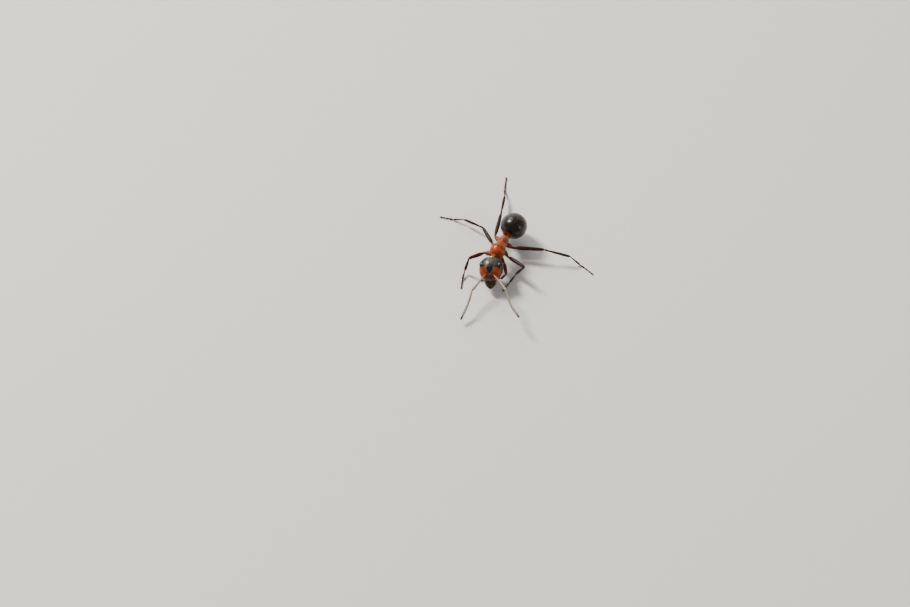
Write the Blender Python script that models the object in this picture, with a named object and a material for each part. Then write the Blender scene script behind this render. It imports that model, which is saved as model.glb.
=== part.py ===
"""Red wood ant worker, life size, standing still with its head low and both feelers forward.

Frame: metres, +Z up, the ant faces -Y, +X is its left side, and its feet stand on z = 0.
Headings are measured from straight ahead, positive towards the ant's left; a rise is the
angle above the horizontal.
"""
from math import atan2, copysign, cos, radians, sin, sqrt

import bmesh
import bpy
from mathutils import Matrix, Vector

MM = 0.001
GAP = 0.03              # the thin cut between neighbouring pieces, in mm like all sizes below
WELD = 1e-4 * MM
CAP_ANGLES = (14.0, 42.0, 68.0)         # rings of a rounded end, off the axis

# ---- head: a rounded box, narrower at the jaws ----
HEAD_CENTRE = (0.24, -2.34, 1.52)
HEAD_HEADING, HEAD_RISE, HEAD_TWIST = 22.0, -20.0, -19.0
HEAD_WIDTH, HEAD_LENGTH = 2.05, 2.14
HEAD_CROWN, HEAD_THROAT = 0.70, 0.52     # above and below the head's long axis
EYE_PLACE = (0.82, 0.32, 0.30)           # left, back and up from the head's centre
EYE_LONG, EYE_WIDE, EYE_DEEP = 0.29, 0.23, 0.17
EYE_TILT = 32.0
JAW_REACH, JAW_WIDTH, JAW_DEPTH = 0.70, 1.30, 0.56
JAW_ROOT, JAW_BACK = 0.98, 0.86          # ahead of the head's centre: middle and rear of the jaws
JAW_DROP = 0.16
JAW_REAR_CURVE, JAW_FRONT_CURVE = 2.2, 1.6   # powers of the jaws' outline; lower is more pointed

# ---- feelers: one long first piece, then the lash ----
FEELER_ROOT = (0.27, -0.50, 0.42)
FEELER_RADIUS = 0.25
SCAPE_LENGTH = 2.10
LASH_LENGTHS = (1.29, 1.56)
FEELER_POSE = {                          # heading and rise of the scape and two lash parts
    "left": ((57, 4), (43, -11), (52, 3)),
    "right": ((-11, -7), (10, -16), (2, -22)),
}

# ---- thorax, waist and gaster ----
BODY_HEIGHT, BODY_DIP = 2.0, 8.0         # height of the thorax centre; how far its front dips
THORAX_STATIONS = (                      # back, half width, top and bottom
    (-1.24, 0.34, 0.20, -0.06),
    (-0.98, 0.58, 0.46, -0.32),
    (-0.62, 0.72, 0.64, -0.44),
    (-0.22, 0.60, 0.67, -0.54),
    (0.10, 0.50, 0.58, -0.60),
    (0.36, 0.44, 0.43, -0.62),
    (0.66, 0.46, 0.42, -0.60),
    (0.94, 0.40, 0.26, -0.50),
    (1.14, 0.26, 0.02, -0.34),
)
PRONOTUM_END = ((0.0, -0.38, 0.66), -3.0)     # a point on each cut and the cut's lean
MESONOTUM_END = ((0.0, 0.34, 0.40), 0.0)
NECK_RADIUS = 0.26
NECK_BACK, NECK_FRONT = (0.0, -1.10, 0.02), (0.0, 0.95, 0.0)   # in the thorax and in the head
WAIST_PLACE = (0.0, 1.44, 1.82)
SCALE_WIDTH, SCALE_HEIGHT, SCALE_DEPTH, SCALE_LEAN = 0.98, 0.96, 0.30, 6.0
STALK_RADIUS = 0.25
STALK_FRONT, STALK_BACK = (0.0, -0.28, -0.01), (0.0, 0.44, -0.06)   # from the waist's place
GASTER_CENTRE = (0.11, 2.79, 1.69)
GASTER_DROOP = 30.0
GASTER_LENGTH, GASTER_WIDTH, GASTER_HEIGHT = 2.70, 2.26, 2.28
GASTER_CUTS = (0.10, -0.34, -0.66, -0.86)     # along the half length, front +1 to tip -1

# ---- legs: lengths of coxa, femur, tibia, first foot joint and the other foot joints ----
LEG_LENGTHS = {
    "fore": (0.78, 1.95, 1.42, 0.80, 0.95),
    "mid": (0.62, 2.10, 1.80, 0.95, 1.15),
    "hind": (0.72, 2.75, 2.38, 1.15, 1.40),
}
LEG_ROOTS = {"fore": (0.30, -0.80, -0.36), "mid": (0.36, 0.0, -0.50), "hind": (0.32, 0.66, -0.50)}
LEG_POSE = {                             # heading and rise of those five parts
    "fore_left": ((100, -50), (26, 24), (46, -110), (-66, -8), (-56, -4)),
    "fore_right": ((-87, -25), (-27, 17), (-2, -78), (12, -13), (17, -5)),
    "mid_left": ((63, -20), (66, 20), (66, -110), (-9, -4), (-7, -4)),
    "mid_right": ((-132, -34), (-132, -7), (-96, -10), (-83, -19), (-74, -6)),
    "hind_left": ((114, -36), (115, 2), (110, -10), (102, -33), (77, -4)),
    "hind_right": ((-124, -15), (-168, -7), (-166, -11), (-161, -25), (-162, -5)),
}
COXA_RADII = (0.26, 0.25)
FEMUR_RADII = (0.25, 0.26, 0.25)          # at the hip, at its thickest and at the knee
FEMUR_THICKEST = 0.4                     # along its length
SHIN_RADIUS = 0.25                       # tibia and foot
SOLE_RISE = 0.22                         # height of the foot's centre line at its tip

SIDES = (("left", 1), ("right", -1))

COLOURS = {
    "rust": (0.42, 0.10, 0.025),
    "umber": (0.055, 0.018, 0.010),
    "soot": (0.012, 0.011, 0.011),
    "eye": (0.010, 0.008, 0.007),
}


# ---------------------------------------------------------------- scene and finish
def clear_scene():
    for thing in list(bpy.data.objects):
        bpy.data.objects.remove(thing, do_unlink=True)


def new_collection(name, hidden=False):
    group = bpy.data.collections.new(name)
    group.hide_render = hidden
    bpy.context.scene.collection.children.link(group)
    return group


def finish(name, bm, group, colour, roughness=0.35):
    """Turn a bmesh in mm into an object in metres with its own material."""
    bmesh.ops.remove_doubles(bm, verts=bm.verts, dist=WELD / MM)
    bmesh.ops.recalc_face_normals(bm, faces=bm.faces)
    bmesh.ops.scale(bm, vec=(MM, MM, MM), verts=bm.verts)
    mesh = bpy.data.meshes.new(name)
    bm.to_mesh(mesh)
    bm.free()
    mesh.shade_smooth()
    material = bpy.data.materials.new(name + "_cuticle")
    material.use_nodes = True
    shader = material.node_tree.nodes["Principled BSDF"]
    shader.inputs["Base Color"].default_value = (*COLOURS[colour], 1.0)
    shader.inputs["Roughness"].default_value = roughness
    shader.inputs["Metallic"].default_value = 0.0
    mesh.materials.append(material)
    piece = bpy.data.objects.new(name, mesh)
    group.objects.link(piece)
    return piece


# ---------------------------------------------------------------- geometry helpers
def direction(heading, rise):
    h, r = radians(heading), radians(rise)
    return Vector((sin(h) * cos(r), -cos(h) * cos(r), sin(r)))


def frame_at(centre, heading=0.0, rise=0.0, twist=0.0):
    """Matrix of a body part: its front points along heading and rise, then it rolls."""
    ahead = direction(heading, rise)
    left = Vector((cos(radians(heading)), sin(radians(heading)), 0.0))
    up = left.cross(-ahead)
    roll = Matrix.Rotation(radians(twist), 3, -ahead)
    axes = roll @ Matrix((left, -ahead, up)).transposed()
    return Matrix.Translation(Vector(centre)) @ axes.to_4x4()


def ease(stations, y):
    """Smooth value of each column of a station table at y (Catmull-Rom between rows)."""
    last = len(stations) - 1
    i = 0
    while i < last - 1 and y > stations[i + 1][0]:
        i += 1
    rows = [stations[max(0, min(last, i + k))] for k in (-1, 0, 1, 2)]
    span = rows[2][0] - rows[1][0]
    u = max(0.0, min(1.0, (y - rows[1][0]) / span))
    values = []
    for a, b, c, d in zip(*(row[1:] for row in rows)):
        values.append(b + 0.5 * u * (c - a + u * (2 * a - 5 * b + 4 * c - d
                                                  + u * (3 * (b - c) + d - a))))
    return values


def shell(shape, frame, sides=24, rings=16):
    """A sphere whose points (t from +1 at the front to -1, angle round) follow shape(t, angle)."""
    bm = bmesh.new()
    bmesh.ops.create_uvsphere(bm, u_segments=sides, v_segments=rings, radius=1.0)
    for v in bm.verts:
        t = max(-1.0, min(1.0, v.co.z))
        v.co = frame @ Vector(shape(t, atan2(v.co.y, v.co.x)))
    return bm


def round_end(t, power):
    return (1.0 - min(1.0, abs(t)) ** power) ** (1.0 / power)


def squared(value, power):
    return copysign(abs(value) ** (2.0 / power), value)


def ellipsoid(centre, half_sizes, frame, sides=16, rings=10):
    def shape(t, angle):
        r = sqrt(max(0.0, 1.0 - t * t))
        return (centre[0] + half_sizes[0] * r * cos(angle), centre[1] - half_sizes[1] * t,
                centre[2] + half_sizes[2] * r * sin(angle))
    return shell(shape, frame, sides, rings)


def clip(bm, point, normal):
    """Keep what lies behind the plane and close the cut."""
    parts = bm.verts[:] + bm.edges[:] + bm.faces[:]
    bmesh.ops.bisect_plane(bm, geom=parts, dist=1e-5, plane_co=Vector(point),
                           plane_no=Vector(normal).normalized(), clear_outer=True)
    rim = [e for e in bm.edges if e.is_boundary]
    if rim:
        bmesh.ops.holes_fill(bm, edges=rim, sides=0)
    return bm


def cap(end, outward, radius):
    """Rings of a rounded end, from its tip inwards."""
    return [(end + outward * radius * cos(radians(a)), radius * sin(radians(a)))
            for a in CAP_ANGLES]


def tube(path, radii, grow=0.0):
    """A round-ended tube as a bevelled curve, with one radius at each point of its path."""
    points = [Vector(p) for p in path]
    sizes = [radius + grow for radius in radii]
    front = (points[0] - points[1]).normalized()
    back = (points[-1] - points[-2]).normalized()
    rings = cap(points[0], front, sizes[0]) + list(zip(points, sizes))
    rings += reversed(cap(points[-1], back, sizes[-1]))

    curve = bpy.data.curves.new("limb_path", "CURVE")
    curve.dimensions = "3D"
    curve.bevel_depth = 1.0
    curve.bevel_resolution = 3
    curve.use_fill_caps = True
    spline = curve.splines.new("POLY")
    spline.points.add(len(rings) - 1)
    for point, (place, radius) in zip(spline.points, rings):
        point.co = (*place, 1.0)
        point.radius = radius
    guide = bpy.data.objects.new("limb_path", curve)
    bpy.context.scene.collection.objects.link(guide)
    seen = guide.evaluated_get(bpy.context.evaluated_depsgraph_get())
    mesh = bpy.data.meshes.new_from_object(seen)
    bm = bmesh.new()
    bm.from_mesh(mesh)
    bmesh.ops.remove_doubles(bm, verts=bm.verts, dist=WELD / MM)
    bpy.data.objects.remove(guide, do_unlink=True)
    bpy.data.curves.remove(curve)
    bpy.data.meshes.remove(mesh)
    return bm


def new_cutter(name, bm, group):
    cutter = finish("cutter_" + name, bm, group, "soot")
    cutter.display_type = "WIRE"
    cutter.hide_render = True
    return cutter


def combine(piece, cutter, operation="DIFFERENCE"):
    """Apply one exact Boolean of the cutter to the piece."""
    step = piece.modifiers.new(cutter.name, "BOOLEAN")
    step.operation = operation
    step.solver = "EXACT"
    step.object = cutter
    seen = piece.evaluated_get(bpy.context.evaluated_depsgraph_get())
    mesh = bpy.data.meshes.new_from_object(seen)
    piece.modifiers.clear()
    piece.data = mesh
    mesh.name = piece.name


# ---------------------------------------------------------------- head
def head_shape(grow=0.0):
    half = HEAD_LENGTH / 2

    def shape(t, angle):
        end = round_end(t, 2.5)
        front = max(0.0, t)
        wide = (HEAD_WIDTH / 2) * end * (1.0 - 0.20 * front ** 1.5) + grow
        crown = HEAD_CROWN * end * (1.0 - 0.28 * front) + grow
        throat = HEAD_THROAT * end * (1.0 - 0.20 * front) + grow
        tall = crown if sin(angle) > 0 else throat
        return (wide * squared(cos(angle), 2.3), -t * (half + grow),
                tall * squared(sin(angle), 2.1) - 0.10 * front ** 2)
    return shape


def mirrored(place, side):
    return (place[0] * side, *place[1:])


def head_frame():
    return frame_at(HEAD_CENTRE, HEAD_HEADING, HEAD_RISE, HEAD_TWIST)


def eye(side, grow=0.0):
    tilt = Matrix.Rotation(radians(-EYE_TILT * side), 4, "Y")
    turned = head_frame() @ Matrix.Translation(mirrored(EYE_PLACE, side)) @ tilt
    sizes = (EYE_DEEP + grow, EYE_LONG + grow, EYE_WIDE + grow)
    return ellipsoid((0, 0, 0), sizes, turned, 12, 8)


def scape(name, grow=0.0):
    return tube(feeler_path(name)[:2], (FEELER_RADIUS,) * 2, grow)


def jaw_shape(t, angle):
    end = round_end(t, JAW_FRONT_CURVE if t > 0 else JAW_REAR_CURVE)
    return (JAW_WIDTH / 2 * end * cos(angle), -JAW_ROOT - t * JAW_REACH,
            JAW_DEPTH / 2 * end * sin(angle) * (1 - 0.2 * max(0, t)) - JAW_DROP)


def build_head(parts, cutters):
    frame = head_frame()
    turn = frame.to_3x3()
    head = finish("head", shell(head_shape(), frame, 28, 20), parts, "rust")
    for name, side in SIDES:
        finish("eye_" + name, eye(side), parts, "eye", 0.2)
        combine(head, new_cutter("eye_" + name, eye(side, GAP), cutters))
        combine(head, new_cutter("scape_" + name, scape(name, GAP), cutters))

    around_head = new_cutter("head", shell(head_shape(GAP), frame, 28, 20), cutters)
    for name, side in SIDES:
        jaw = shell(jaw_shape, frame, 20, 12)
        clip(jaw, frame @ Vector((side * GAP / 2, 0, 0)), turn @ Vector((-side, 0, 0)))
        clip(jaw, frame @ Vector((0, -JAW_BACK, 0)), turn @ Vector((0, 1, 0)))
        combine(finish("mandible_" + name, jaw, parts, "umber", 0.3), around_head)
    return head


def feeler_path(name):
    points = [head_frame() @ Vector(mirrored(FEELER_ROOT, dict(SIDES)[name]))]
    for length, (heading, rise) in zip((SCAPE_LENGTH, *LASH_LENGTHS), FEELER_POSE[name]):
        points.append(points[-1] + length * direction(heading, rise))
    return points


def mitre(points, i, side):
    """Point and outward normal of the cut at joint i; side +1 keeps the piece before it."""
    into = (points[i] - points[i - 1]).normalized()
    out = (points[i + 1] - points[i]).normalized()
    normal = (into + out).normalized()
    return points[i] - normal * side * GAP / 2, normal * side


def build_feelers(parts):
    for name, side in SIDES:
        points = feeler_path(name)
        first = scape(name)
        clip(first, *mitre(points, 1, 1))
        finish("scape_" + name, first, parts, "umber")
        lash = tube(points[1:], (FEELER_RADIUS,) * 3)
        clip(lash, *mitre(points, 1, -1))
        finish("funiculus_" + name, lash, parts, "umber")


# ---------------------------------------------------------------- trunk
def thorax_frame():
    return frame_at((0, 0, BODY_HEIGHT), 0.0, -BODY_DIP)


def thorax_shape(t, angle):
    front, back = THORAX_STATIONS[0][0], THORAX_STATIONS[-1][0]
    y = (front + back) / 2 - t * (back - front) / 2
    wide, top, bottom = ease(THORAX_STATIONS, y)
    end = round_end(t, 5.0)
    middle = (top + bottom) / 2
    tall = (top - bottom) / 2
    lift = 0.16 * cos(angle) ** 2
    return (wide * end * squared(cos(angle), 2.2), y,
            middle + end * tall * squared(sin(angle), 2.0) - lift * end * 0.5)


def neck(grow=0.0):
    ends = (thorax_frame() @ Vector(NECK_BACK), head_frame() @ Vector(NECK_FRONT))
    return tube(ends, (NECK_RADIUS,) * 2, grow)


def build_trunk(parts, cutters, head):
    frame = thorax_frame()
    turn = frame.to_3x3()
    around_neck = new_cutter("neck", neck(GAP), cutters)
    around_stalk = new_cutter("stalk", stalk(GAP), cutters)
    hips = {name: new_cutter("coxa_" + name, coxa(name, GAP), cutters) for name in LEG_POSE}
    cuts = []
    for place, lean in (PRONOTUM_END, MESONOTUM_END):
        normal = turn @ (Matrix.Rotation(radians(lean), 3, "X") @ Vector((0, 1, 0)))
        cuts.append((frame @ Vector(place), normal))
    combine(head, around_neck)
    for i, (name, legs, others) in enumerate((
            ("pronotum", ("fore",), (around_neck,)),
            ("mesothorax", ("mid",), ()),
            ("propodeum", ("mid", "hind"), (around_stalk,)))):
        bm = shell(thorax_shape, frame, 20, 18)
        if i > 0:
            point, normal = cuts[i - 1]
            clip(bm, point + normal * GAP / 2, -normal)
        if i < len(cuts):
            point, normal = cuts[i]
            clip(bm, point - normal * GAP / 2, normal)
        piece = finish(name, bm, parts, "rust")
        sockets = [hips["%s_%s" % (leg, side)] for leg in legs for side, sign in SIDES]
        for cutter in (*sockets, *others):
            combine(piece, cutter)
    finish("neck", neck(), parts, "umber")
    return around_stalk


def stalk(grow=0.0):
    centre = Vector(WAIST_PLACE)
    ends = (centre + Vector(STALK_FRONT), centre + Vector(STALK_BACK))
    return tube(ends, (STALK_RADIUS,) * 2, grow)


def scale_plate(grow=0.0):
    frame = frame_at(WAIST_PLACE, 0.0, 0.0) @ Matrix.Rotation(radians(SCALE_LEAN), 4, "X")

    def shape(t, angle):
        end = round_end(t, 2.0)
        up = t * SCALE_HEIGHT / 2
        wide = (SCALE_WIDTH / 2) * round_end(t, 2.6) * (0.86 + 0.14 * t) + grow
        return (wide * squared(cos(angle), 2.0),
                (SCALE_DEPTH / 2 * end * (1 - 0.25 * t) + grow) * sin(angle),
                up * (1 + grow))
    return shell(shape, frame, 18, 12)


def build_waist(parts, cutters):
    piece = finish("petiole", scale_plate(), parts, "rust")
    combine(piece, new_cutter("stalk_bar", stalk(), cutters), "UNION")


def gaster_shape(t, angle):
    front = max(0.0, t)
    back = max(0.0, -t)
    end = round_end(t, 2.25 if t > 0 else 1.85)
    wide = GASTER_WIDTH / 2 * end * (1 - 0.06 * back)
    tall = GASTER_HEIGHT / 2 * end
    sink = -0.10 * back ** 2 + 0.06 * front ** 2
    return (wide * cos(angle), -t * GASTER_LENGTH / 2, tall * sin(angle) + sink)


def build_gaster(parts, cutters, around_stalk):
    frame = frame_at(GASTER_CENTRE, 0.0, GASTER_DROOP)
    turn = frame.to_3x3()
    ahead = turn @ Vector((0, -1, 0))
    places = [frame @ Vector((0, -t * GASTER_LENGTH / 2, 0)) for t in GASTER_CUTS]
    for i in range(len(places) + 1):
        bm = shell(gaster_shape, frame, 24, 18)
        if i > 0:
            clip(bm, places[i - 1] - ahead * GAP / 2, ahead)
        if i < len(places):
            clip(bm, places[i] + ahead * GAP / 2, -ahead)
        piece = finish("gaster_%d" % (i + 1), bm, parts, "soot", 0.22)
        if i == 0:
            combine(piece, around_stalk)
            combine(piece, new_cutter("scale", scale_plate(GAP), cutters))


# ---------------------------------------------------------------- legs
def leg_points(name):
    kind, side_name = name.split("_")
    side = 1 if side_name == "left" else -1
    points = [thorax_frame() @ Vector(mirrored(LEG_ROOTS[kind], side))]
    for length, (heading, rise) in zip(LEG_LENGTHS[kind], LEG_POSE[name]):
        points.append(points[-1] + length * direction(heading, rise))
    points[-1].z = SOLE_RISE
    return points


def coxa(name, grow=0.0):
    return tube(leg_points(name)[:2], COXA_RADII, grow)


def build_leg(name, parts):
    points = leg_points(name)
    hip = coxa(name)
    clip(hip, *mitre(points, 1, 1))
    finish("coxa_" + name, hip, parts, "rust")
    swell = points[1].lerp(points[2], FEMUR_THICKEST)
    femur = tube((points[1], swell, points[2]), FEMUR_RADII)
    tibia = tube(points[2:4], (SHIN_RADIUS,) * 2)
    for i, (part, bm) in enumerate((("femur", femur), ("tibia", tibia))):
        clip(bm, *mitre(points, i + 1, -1))
        clip(bm, *mitre(points, i + 2, 1))
        finish("%s_%s" % (part, name), bm, parts, "umber")
    foot = tube(points[3:], (SHIN_RADIUS,) * 3)
    clip(foot, *mitre(points, 3, -1))
    clip(foot, (0, 0, 0), (0, 0, -1))
    finish("tarsus_" + name, foot, parts, "umber")


def stand_on_origin(groups):
    """Move every piece so that the origin lies on the floor under the middle of the whole ant."""
    corners = [v.co for piece in groups[0].objects for v in piece.data.vertices]
    middle = Vector([(min(c[i] for c in corners) + max(c[i] for c in corners)) / 2
                     for i in (0, 1)] + [0.0])
    for group in groups:
        for piece in group.objects:
            piece.data.transform(Matrix.Translation(-middle))


def main():
    clear_scene()
    parts = new_collection("red_wood_ant")
    cutters = new_collection("cutters", hidden=True)
    head = build_head(parts, cutters)
    build_feelers(parts)
    around_stalk = build_trunk(parts, cutters, head)
    build_waist(parts, cutters)
    build_gaster(parts, cutters, around_stalk)
    for name in LEG_POSE:
        build_leg(name, parts)
    stand_on_origin((parts, cutters))


main()
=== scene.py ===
import bpy
import numpy as np
from mathutils import Matrix, Vector


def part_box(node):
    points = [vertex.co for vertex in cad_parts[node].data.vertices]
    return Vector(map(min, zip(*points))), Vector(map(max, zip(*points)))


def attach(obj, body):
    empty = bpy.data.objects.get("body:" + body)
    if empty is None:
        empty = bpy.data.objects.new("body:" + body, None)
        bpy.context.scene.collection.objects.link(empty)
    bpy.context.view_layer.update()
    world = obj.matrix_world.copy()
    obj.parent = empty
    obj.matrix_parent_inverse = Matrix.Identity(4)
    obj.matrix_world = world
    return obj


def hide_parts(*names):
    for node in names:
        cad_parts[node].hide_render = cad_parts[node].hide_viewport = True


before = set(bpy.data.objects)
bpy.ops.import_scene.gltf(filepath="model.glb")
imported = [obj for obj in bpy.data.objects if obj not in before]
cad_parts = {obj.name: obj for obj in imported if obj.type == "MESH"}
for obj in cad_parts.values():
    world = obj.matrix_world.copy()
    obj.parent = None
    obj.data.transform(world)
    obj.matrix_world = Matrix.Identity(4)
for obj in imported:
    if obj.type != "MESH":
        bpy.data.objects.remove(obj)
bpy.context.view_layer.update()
mm = 0.001
print("frame loaded with", len(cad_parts), "nodes")


# where things are: millimetres from the middle of the thorax, on the floor
stalkBehindFront = 0.53  # the petiole's front end lies this far ahead of its own place
body = {
    "thoraxPlace": (0.0, 0.0, 2.0),
    "thoraxDip": 8.0,
    "headPlace": (0.24, -2.34, 1.52),
    "headTurn": 22.0,
    "headRise": -20.0,
    "headTwist": -19.0,
    "waistPlace": (0.0, 1.44, 1.82),
    "gasterPlace": (0.11, 2.79, 1.69),
    "gasterDroop": 30.0,
}
sides = (("left", 1), ("right", -1))
waistLow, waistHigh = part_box("petiole")
origin = np.array([(waistLow[0] + waistHigh[0]) / 2 / mm,
                   waistLow[1] / mm + stalkBehindFront - body["waistPlace"][1], 0.0])


def heading(turn, rise):  # unit vector: turn from straight ahead to the ant's left, rise above level
    a, b = np.radians(turn), np.radians(rise)
    return np.array([np.sin(a) * np.cos(b), -np.cos(a) * np.cos(b), np.sin(b)])


def bodyAxes(turn=0.0, rise=0.0, twist=0.0):  # columns are left, back and up of a body part
    back = -heading(turn, rise)
    left = np.array([np.cos(np.radians(turn)), np.sin(np.radians(turn)), 0.0])
    up = np.cross(left, back)
    c, s = np.cos(np.radians(twist)), np.sin(np.radians(twist))
    return np.column_stack([left * c - up * s, back, left * s + up * c])


def placed(points, place, axes=np.eye(3)):  # local millimetres to millimetres in the ant's frame
    return np.asarray(place) + np.asarray(points) @ axes.T


thoraxAxes = bodyAxes(0.0, -body["thoraxDip"])
headAxes = bodyAxes(body["headTurn"], body["headRise"], body["headTwist"])
gasterAxes = bodyAxes(0.0, body["gasterDroop"])


# curves and surfaces as whole arrays
def ramp(value, low, high):  # 0 below low, 1 above high, an S curve between
    u = np.clip((value - low) / (high - low), 0.0, 1.0)
    return u * u * (3 - 2 * u)


def bell(value, width):  # 1 at zero, falling off over the width
    return np.exp(-(value / width) ** 2)


def raised(look, *rows):
    # each row: a feature's name, the distance from its line or middle, and where it shows;
    # look states its height, which is below zero where it is sunk, and its width
    return sum(look[name][0] * bell(away, look[name][1]) * where for name, away, where in rows)


def strongest(*rows):  # each row: how strong a mark is, and where it lies
    return np.maximum.reduce(np.broadcast_arrays(*(strength * where for strength, where in rows)))


def squared(value, power):  # sine or cosine of a superellipse
    return np.sign(value) * np.abs(value) ** (2.0 / power)


def roundEnd(t, power):  # half width of a superellipse at t along it
    return (1.0 - np.clip(np.abs(t), 0, 1) ** power) ** (1.0 / power)


def smoothThrough(places, values, where):  # cubic through the values, slopes from the neighbours
    places, values = np.asarray(places, float), np.asarray(values, float)
    slopes = np.gradient(values, places, axis=0)
    i = np.clip(np.searchsorted(places, where) - 1, 0, len(places) - 2)
    gap = places[i + 1] - places[i]
    u = (where - places[i]) / gap
    if values.ndim > 1:
        u, gap = u[..., None], gap[..., None]
    return ((2 * u ** 3 - 3 * u ** 2 + 1) * values[i] + (u ** 3 - 2 * u ** 2 + u) * gap * slopes[i]
            + (3 * u ** 2 - 2 * u ** 3) * values[i + 1] + (u ** 3 - u ** 2) * gap * slopes[i + 1])


def evenRound(number):  # angles of one turn, as a row
    return np.linspace(0, 2 * np.pi, number, endpoint=False)[None, :]


def oneToMinusOne(number, gap=0.03):  # as a column, closest together at the ends
    return np.cos(np.linspace(gap, np.pi - gap, number))[:, None]


def unit(vectors):
    return vectors / np.maximum(np.linalg.norm(vectors, axis=-1, keepdims=True), 1e-12)


def lengthAlong(path):  # from its start to each of its points
    return np.concatenate([[0], np.cumsum(np.linalg.norm(np.diff(path, axis=0), axis=1))])


def gridNormals(rings):  # outward normals of a grid that closes round itself
    along = np.gradient(rings, axis=0)
    around = np.roll(rings, -1, axis=1) - np.roll(rings, 1, axis=1)
    normals = unit(np.cross(around, along))
    outward = np.sum(normals * (rings - rings.mean(axis=1, keepdims=True)))
    return normals * np.sign(outward)


def loft(rings, **marks):
    # rings run along by row and round by column; a fan of triangles closes each end
    rows, around = rings.shape[:2]
    points = np.concatenate([rings.reshape(-1, 3), rings[[0, -1]].mean(axis=1)])
    i = np.arange(rows - 1)[:, None] * around
    j = np.arange(around)[None, :]
    k = (j + 1) % around
    quads = np.stack([i + j, i + k, i + around + k, i + around + j], -1).reshape(-1, 4)
    j, k, first = j[0], k[0], rows * around
    last = (rows - 1) * around
    tris = np.concatenate([np.stack([np.full(around, first), k, j], -1),
                           np.stack([np.full(around, first + 1), last + j, last + k], -1)])
    a, b, c = points[quads[:, 0]], points[quads[:, 1]], points[quads[:, 2]]
    middle = points.mean(axis=0)
    if np.sum(np.cross(b - a, c - a) * (a - middle)) < 0:
        quads, tris = quads[:, ::-1], tris[:, ::-1]
    values = {}
    for name, mark in marks.items():
        mark = np.broadcast_to(mark, (rows, around))
        values[name] = np.concatenate([mark.reshape(-1), mark[[0, -1]].mean(axis=1)])
    return {"points": points, "quads": quads, "tris": tris, "marks": values}


def joined(shapes):  # several shapes as one
    total, quads, tris = 0, [], []
    for shape in shapes:
        quads.append(shape["quads"] + total)
        tris.append(shape["tris"] + total)
        total += len(shape["points"])
    names = shapes[0]["marks"].keys()
    whole = {"points": np.concatenate([s["points"] for s in shapes]),
             "quads": np.concatenate(quads), "tris": np.concatenate(tris),
             "marks": {n: np.concatenate([s["marks"][n] for s in shapes]) for n in names}}
    if "unwrap" in shapes[0]:
        whole["unwrap"] = np.concatenate([s["unwrap"] for s in shapes])
    return whole


def makePiece(name, shape, material, nodes=()):
    # one object at the origin, in metres, that rides on the root and replaces the named nodes
    points = (shape["points"] + origin) * mm
    quads, tris = shape["quads"], shape["tris"]
    corners = np.concatenate([quads.reshape(-1), tris.reshape(-1)]).astype(np.int32)
    starts = np.concatenate([np.arange(len(quads)) * 4, len(quads) * 4 + np.arange(len(tris)) * 3])
    mesh = bpy.data.meshes.new(name)
    mesh.vertices.add(len(points))
    mesh.loops.add(len(corners))
    mesh.polygons.add(len(starts))
    mesh.vertices.foreach_set("co", points.astype(np.float32).reshape(-1))
    mesh.polygons.foreach_set("loop_start", starts.astype(np.int32))
    mesh.loops.foreach_set("vertex_index", corners)
    mesh.update(calc_edges=True)
    mesh.polygons.foreach_set("use_smooth", np.ones(len(starts), bool))
    for mark, values in shape["marks"].items():
        layer = mesh.attributes.new(mark, "FLOAT", "POINT")
        layer.data.foreach_set("value", values.astype(np.float32))
    if "unwrap" in shape:
        layer = mesh.uv_layers.new(name="OFBake")
        layer.data.foreach_set("uv", shape["unwrap"][corners].astype(np.float32).reshape(-1))
    mesh.materials.append(material)
    piece = bpy.data.objects.new(name, mesh)
    bpy.context.scene.collection.objects.link(piece)
    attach(piece, "root")
    if nodes:
        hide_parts(*nodes)


def tube(path, radii, around):  # rings of a round limb along a path
    tangents = unit(np.gradient(path, axis=0))
    aside = np.eye(3)[np.argmin(np.abs(tangents.mean(axis=0)))]
    across = unit(np.cross(tangents, aside))
    over = np.cross(across, tangents)
    angle = evenRound(around)[..., None]
    radii = np.asarray(radii)[:, None, None]
    return path[:, None] + radii * (np.cos(angle) * across[:, None] + np.sin(angle) * over[:, None])


def limb(start, end, places, radii, rows, around, bow=0.0):
    # a straight or slightly bowed limb, its radius following the table, its ends rounded
    start, end = np.asarray(start, float), np.asarray(end, float)
    s = 0.5 - 0.5 * oneToMinusOne(rows, 0.05)[:, 0]
    length = np.linalg.norm(end - start)
    across = unit(np.cross(end - start, [0.0, 0.0, 1.0]))
    over = unit(np.cross(across, end - start))
    path = start + s[:, None] * (end - start) + (bow * 4 * s * (1 - s))[:, None] * over
    size = smoothThrough(places, radii, s)
    nearest = np.minimum(s, 1 - s) * length / size
    size = size * np.sqrt(1 - (1 - np.clip(nearest, 0, 1)) ** 2)
    return tube(path, np.maximum(size, 1e-4), around)


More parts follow.
